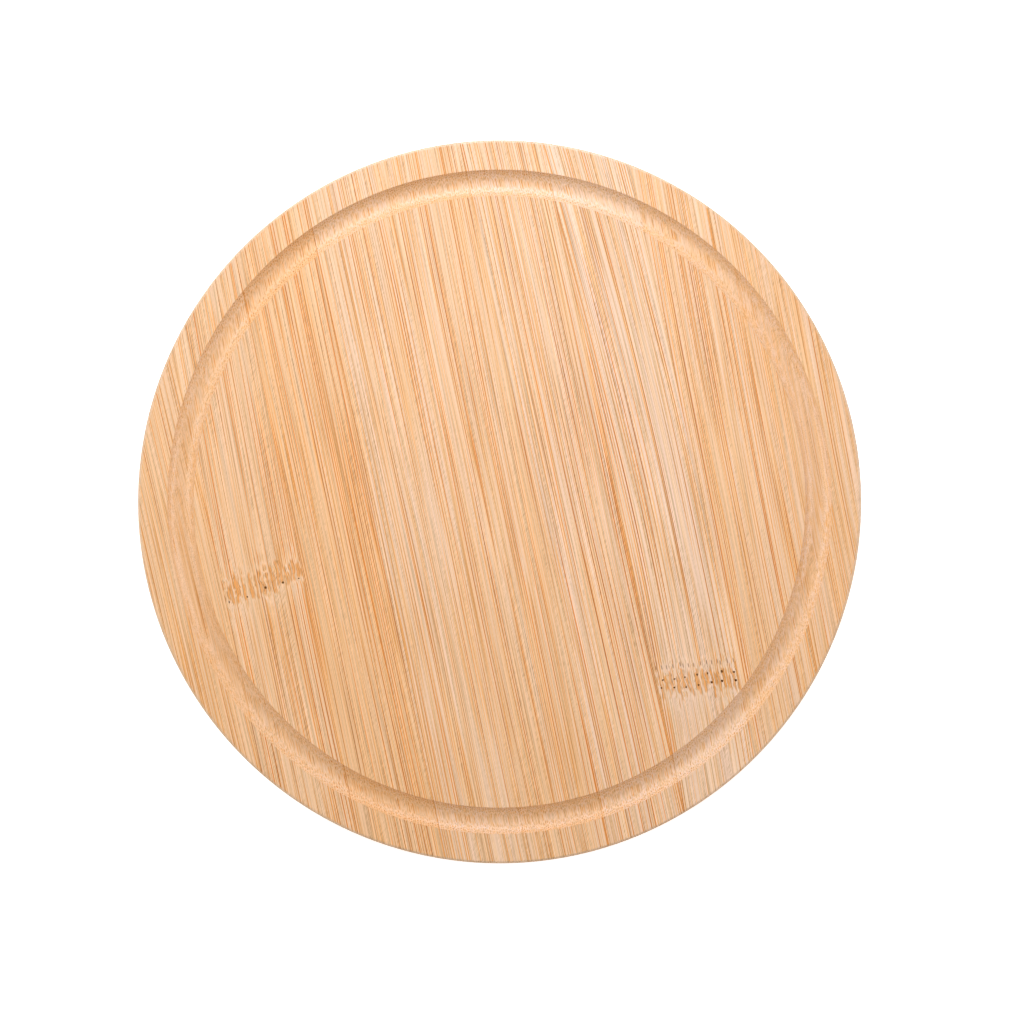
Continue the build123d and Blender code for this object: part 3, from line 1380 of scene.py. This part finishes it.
def slab_corner(corner, ply, way):
    """A corner of the block that a strip is cut from, run past the board's round and outer faces."""
    reach = BOARD_RADIUS + SPARE
    x, y, z = corner
    if ply == "core":
        x = reach * way
    else:
        y = reach * way
    if abs(x) > BOARD_RADIUS - SLIVER:
        x = reach * way
    if abs(y) > BOARD_RADIUS - SLIVER:
        y = reach * way
    if ply == "face" and way > 0:
        z = BOARD_TOP + SPARE
    if ply == "back" and way < 0:
        z = -SPARE
    return (x, y, z)


def shared(name, make):
    """A node tree by name, made the first time that it is asked for."""
    return bpy.data.node_groups.get(name) or make()


class BOARD_OT_face_strips(bpy.types.Operator):
    """Makes the strips of the face ply, with the groove and the knuckle pits"""

    bl_idname = "board.face_strips"
    bl_label = "Face Strips"

    def execute(self, context):
        make_strips(context, "face")
        return {"FINISHED"}


class BOARD_OT_core_strips(bpy.types.Operator):
    """Makes the strips of the core ply, which lie across the board"""

    bl_idname = "board.core_strips"
    bl_label = "Core Strips"

    def execute(self, context):
        make_strips(context, "core")
        return {"FINISHED"}


class BOARD_OT_back_strips(bpy.types.Operator):
    """Makes the strips of the back ply, which the board stands on"""

    bl_idname = "board.back_strips"
    bl_label = "Back Strips"

    def execute(self, context):
        make_strips(context, "back")
        return {"FINISHED"}


class BOARD_OT_stage(bpy.types.Operator):
    """Makes the floor, the lights and the camera"""

    bl_idname = "board.stage"
    bl_label = "Stage"

    def execute(self, context):
        look = context.scene.stage_look
        make_floor(context, look)
        make_sky(context, look)
        make_softboxes(context, look)
        make_camera(context, look)
        return {"FINISHED"}


def make_floor(context, look):
    """A plain floor just under the board."""
    size = FLOOR_HALF_WIDTH
    mesh = bpy.data.meshes.new("floor")
    corners = [(-size, -size), (size, -size), (size, size), (-size, size)]
    mesh.from_pydata([(x, y, -FLOOR_GAP) for x, y in corners], [], [(0, 1, 2, 3)])
    material = bpy.data.materials.new("floor")
    material.use_nodes = True
    shader = material.node_tree.nodes["Principled BSDF"]
    shader.inputs["Base Color"].default_value = (*look.floor_colour, 1.0)
    shader.inputs["Roughness"].default_value = 0.9
    shader.inputs["Specular IOR Level"].default_value = 0.1
    shader.inputs["Emission Color"].default_value = (1.0, 1.0, 1.0, 1.0)
    shader.inputs["Emission Strength"].default_value = look.floor_glow
    mesh.materials.append(material)
    floor = bpy.data.objects.new("floor", mesh)
    context.scene.collection.objects.link(floor)


def picture_way(look, right, up, height):
    """A direction given as the picture's right and up, and the height out of the board."""
    roll = look.camera_roll
    x = right * math.cos(roll) - up * math.sin(roll)
    y = right * math.sin(roll) + up * math.cos(roll)
    return Vector((x, y, height))


def make_sky(context, look):
    """An even sky that is a little brighter near the horizon."""
    world = bpy.data.worlds.new("studio")
    world.use_nodes = True
    nodes = Nodes(world.node_tree)
    coordinates = nodes.add("ShaderNodeTexCoord")
    _, _, height = nodes.parts(coordinates.outputs["Generated"])
    horizon = 1.0 - nodes.smooth(height, *HORIZON_STEP)
    strength = horizon * look.horizon_strength + look.sky_strength
    background = world.node_tree.nodes["Background"]
    background.inputs["Color"].default_value = (1.0, 1.0, 1.0, 1.0)
    nodes.feed(background.inputs["Strength"], strength)
    context.scene.world = world


def make_softboxes(context, look):
    """The softboxes, each turned to the middle of the board's face."""
    for softbox in SOFTBOXES:
        bearing = math.radians(softbox.bearing)
        tilt = math.radians(softbox.tilt)
        right = math.cos(bearing) * math.sin(tilt)
        up = math.sin(bearing) * math.sin(tilt)
        way = picture_way(look, right, up, math.cos(tilt))
        data = bpy.data.lights.new(softbox.name, "AREA")
        data.shape = "RECTANGLE"
        data.size = softbox.width
        data.size_y = softbox.height
        data.energy = softbox.power * look.softbox_strength
        data.color = softbox.colour
        light = bpy.data.objects.new(softbox.name, data)
        light.location = way * softbox.distance + Vector((0.0, 0.0, BOARD_TOP))
        light.rotation_euler = way.to_track_quat("Z", "Y").to_euler()
        context.scene.collection.objects.link(light)


def make_camera(context, look):
    """A camera that looks straight down, with the board's middle and radius at their pixels."""
    picture_size = 1024
    board_middle = (499.6, 501.8)
    radius_in_pixels = 361.9
    pixel = BOARD_RADIUS / radius_in_pixels
    right = (picture_size / 2 - board_middle[0]) * pixel
    up = (board_middle[1] - picture_size / 2) * pixel
    place = picture_way(look, right, up, BOARD_TOP + look.camera_height)
    data = bpy.data.cameras.new("camera")
    data.sensor_width = 36.0
    data.lens = data.sensor_width * look.camera_height / (picture_size * pixel)
    data.clip_end = 10.0
    camera = bpy.data.objects.new("camera", data)
    camera.location = place
    camera.rotation_euler = (0.0, 0.0, look.camera_roll)
    context.scene.collection.objects.link(camera)
    context.scene.camera = camera
    context.scene.view_settings.view_transform = "Standard"


class BOARD_PT_sidebar(bpy.types.Panel):
    """Lists the board's pieces and settings"""

    bl_idname = "BOARD_PT_sidebar"
    bl_label = "Bamboo Board"
    bl_space_type = "VIEW_3D"
    bl_region_type = "UI"
    bl_category = "Board"

    def draw(self, context):
        layout = self.layout
        for group in (context.scene.board_sizes, context.scene.bamboo_look, context.scene.stage_look):
            box = layout.box()
            for name in group.bl_rna.properties.keys():
                if name not in ("rna_type", "name"):
                    box.prop(group, name)
        for operator in OPERATORS:
            layout.operator(operator.bl_idname)


OPERATORS = (BOARD_OT_face_strips, BOARD_OT_core_strips, BOARD_OT_back_strips, BOARD_OT_stage)
CLASSES = (BoardSizes, BambooLook, StageLook, *OPERATORS, BOARD_PT_sidebar)


def register():
    for cls in CLASSES:
        bpy.utils.register_class(cls)
    bpy.types.Scene.board_sizes = PointerProperty(type=BoardSizes)
    bpy.types.Scene.bamboo_look = PointerProperty(type=BambooLook)
    bpy.types.Scene.stage_look = PointerProperty(type=StageLook)


def unregister():
    del bpy.types.Scene.stage_look
    del bpy.types.Scene.bamboo_look
    del bpy.types.Scene.board_sizes
    for cls in reversed(CLASSES):
        bpy.utils.unregister_class(cls)


def main():
    register()
    bpy.ops.board.face_strips()
    bpy.ops.board.core_strips()
    bpy.ops.board.back_strips()
    bpy.ops.board.stage()


if __name__ == "__main__":
    main()
